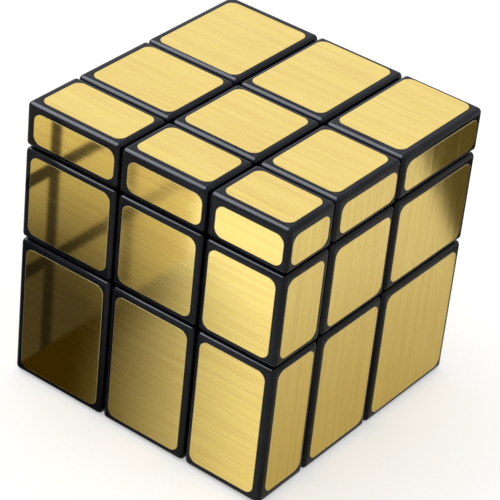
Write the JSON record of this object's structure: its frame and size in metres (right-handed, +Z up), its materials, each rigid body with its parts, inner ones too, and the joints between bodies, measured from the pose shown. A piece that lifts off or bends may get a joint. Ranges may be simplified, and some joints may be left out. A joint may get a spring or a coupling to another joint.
{
  "type": "mirror block cube",
  "caption": "Twisty puzzle cube with layers of unequal thickness: black blocks on sprung centres turn about an off-centre core.",
  "frame": {"origin": "middle of the square face that the cube rests on", "axes": "+Z up through the thin top layer, +X to the right, -Y towards the front; the resting face looks along -Z"},
  "size_m": [0.057, 0.057, 0.057],
  "materials": {
    "gloss_black": "glossy moulded black with rounded edges",
    "gold_foil": "brushed gold foil, lacquered, with rounded corners",
    "hub_plastic": "satin black nylon",
    "core_plastic": "satin off-white nylon",
    "zinc_steel": "bright zinc-plated steel",
    "spring_steel": "drawn spring steel wire"
  },
  "bodies": {
    "root": {"core_spider": "core_plastic", "edge_front_left": "gloss_black", "edge_front_right": "gloss_black", "edge_back_left": "gloss_black", "edge_back_right": "gloss_black", "top_screw": "zinc_steel", "bottom_screw": "zinc_steel", "front_screw": "zinc_steel", "back_screw": "zinc_steel", "left_screw": "zinc_steel", "right_screw": "zinc_steel", "top_washer": "zinc_steel", "bottom_washer": "zinc_steel", "front_washer": "zinc_steel", "back_washer": "zinc_steel", "left_washer": "zinc_steel", "right_washer": "zinc_steel", "front_spring": "spring_steel", "back_spring": "spring_steel", "left_spring": "spring_steel", "right_spring": "spring_steel"},
    "top_float": {"top_spring": "spring_steel"},
    "top_layer": {"top_hub": "hub_plastic", "top_cap": "gloss_black", "edge_top_front": "gloss_black", "edge_top_back": "gloss_black", "edge_top_left": "gloss_black", "edge_top_right": "gloss_black", "corner_top_front_left": "gloss_black", "corner_top_front_right": "gloss_black", "corner_top_back_left": "gloss_black", "corner_top_back_right": "gloss_black"},
    "bottom_float": {"bottom_spring": "spring_steel"},
    "bottom_layer": {"bottom_hub": "hub_plastic", "bottom_cap": "gloss_black", "edge_bottom_front": "gloss_black", "edge_bottom_back": "gloss_black", "edge_bottom_left": "gloss_black", "edge_bottom_right": "gloss_black", "corner_bottom_front_left": "gloss_black", "corner_bottom_front_right": "gloss_black", "corner_bottom_back_left": "gloss_black", "corner_bottom_back_right": "gloss_black"},
    "front_centre": {"front_hub": "hub_plastic", "front_cap": "gloss_black"},
    "back_centre": {"back_hub": "hub_plastic", "back_cap": "gloss_black"},
    "left_centre": {"left_hub": "hub_plastic", "left_cap": "gloss_black"},
    "right_centre": {"right_hub": "hub_plastic", "right_cap": "gloss_black"}
  },
  "joints": [
    {"name": "top_lift", "type": "slide", "parent": "root", "child": "top_float", "axis": [0, 0, 1], "range_m": [0, 0.0005], "stiffness_N_per_m": 900, "springref_m": -0.002, "deforming": ["top_spring"]},
    {"name": "top_turn", "type": "hinge", "parent": "top_float", "child": "top_layer", "pos_m": [0.002, -0.006, 0.0385], "axis": [0, 0, 1], "continuous": true},
    {"name": "bottom_lift", "type": "slide", "parent": "root", "child": "bottom_float", "axis": [0, 0, -1], "range_m": [0, 0.0005], "stiffness_N_per_m": 900, "springref_m": -0.002, "deforming": ["bottom_spring"]},
    {"name": "bottom_turn", "type": "hinge", "parent": "bottom_float", "child": "bottom_layer", "pos_m": [0.002, -0.006, 0.0385], "axis": [0, 0, -1], "continuous": true},
    {"name": "front_centre_lift", "type": "slide", "parent": "root", "child": "front_centre", "axis": [0, -1, 0], "range_m": [0, 0.0005], "stiffness_N_per_m": 900, "springref_m": -0.002, "deforming": ["front_spring"]},
    {"name": "back_centre_lift", "type": "slide", "parent": "root", "child": "back_centre", "axis": [0, 1, 0], "range_m": [0, 0.0005], "stiffness_N_per_m": 900, "springref_m": -0.002, "deforming": ["back_spring"]},
    {"name": "left_centre_lift", "type": "slide", "parent": "root", "child": "left_centre", "axis": [-1, 0, 0], "range_m": [0, 0.0005], "stiffness_N_per_m": 900, "springref_m": -0.002, "deforming": ["left_spring"]},
    {"name": "right_centre_lift", "type": "slide", "parent": "root", "child": "right_centre", "axis": [1, 0, 0], "range_m": [0, 0.0005], "stiffness_N_per_m": 900, "springref_m": -0.002, "deforming": ["right_spring"]}
  ]
}
